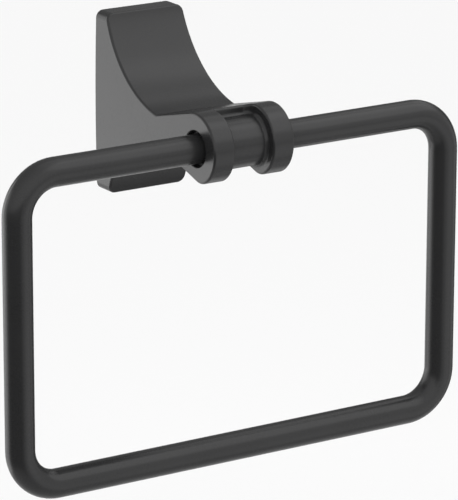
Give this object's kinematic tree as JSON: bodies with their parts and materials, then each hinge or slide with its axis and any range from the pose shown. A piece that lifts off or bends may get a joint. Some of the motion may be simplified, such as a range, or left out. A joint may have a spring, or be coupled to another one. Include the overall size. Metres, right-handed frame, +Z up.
{
  "type": "towel ring",
  "caption": "Rectangular towel ring of bent tube that swings in the two ears of a swept cast post, hooked on a hidden wall bracket and held by a set screw; satin black.",
  "frame": {"origin": "Middle of the post's base, on the wall plane.", "axes": "+Z is up, +X runs to the right along the wall as seen from the room, +Y points into the wall, and the object stands out towards -Y."},
  "size_m": [0.2155, 0.0921, 0.1763],
  "materials": {
    "satin_black": "satin",
    "zinc_plate": "satin",
    "dark_steel": "satin",
    "black_nylon": "matte"
  },
  "bodies": {
    "post_body": {"post": "satin_black", "wall_bracket": "zinc_plate", "set_screw": "dark_steel", "left_bush": "black_nylon", "right_bush": "black_nylon"},
    "ring_body": {"ring": "satin_black"}
  },
  "joints": [
    {"name": "ring_swing", "type": "hinge", "parent": "post_body", "child": "ring_body", "pos_m": [0, -0.0776, -0.0035], "axis": [1, 0, 0], "range_deg": [-213.5, 33.5]}
  ]
}
